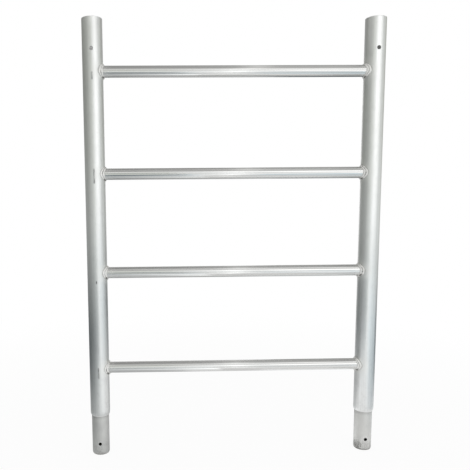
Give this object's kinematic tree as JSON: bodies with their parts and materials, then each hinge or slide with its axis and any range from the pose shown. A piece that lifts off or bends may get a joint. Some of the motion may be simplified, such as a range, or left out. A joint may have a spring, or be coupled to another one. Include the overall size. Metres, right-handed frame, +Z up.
{
  "type": "scaffold frame",
  "caption": "Welded aluminium end frame of an access tower: two round standards joined by fluted rungs, with open sockets on top and pinned spigots below.",
  "frame": {"origin": "on the floor, midway between the ends of the two spigots", "axes": "+Z up along the standards, +X along the rungs to the right-hand standard, front towards -Y"},
  "size_m": [0.7508, 0.0508, 1.105],
  "materials": {
    "standard_tube": "mill-finish drawn tube",
    "rung_tube": "bright fluted tube",
    "spigot_tube": "dull turned tube with scuffs",
    "weld_bead": "rippled weld bead"
  },
  "bodies": {
    "root": {"left_standard": "standard_tube", "left_spigot": "spigot_tube", "right_standard": "standard_tube", "right_spigot": "spigot_tube", "rung_1": "rung_tube", "rung_1_left_weld": "weld_bead", "rung_1_right_weld": "weld_bead", "rung_2": "rung_tube", "rung_2_left_weld": "weld_bead", "rung_2_right_weld": "weld_bead", "rung_3": "rung_tube", "rung_3_left_weld": "weld_bead", "rung_3_right_weld": "weld_bead", "rung_4": "rung_tube", "rung_4_left_weld": "weld_bead", "rung_4_right_weld": "weld_bead"}
  },
  "joints": []
}
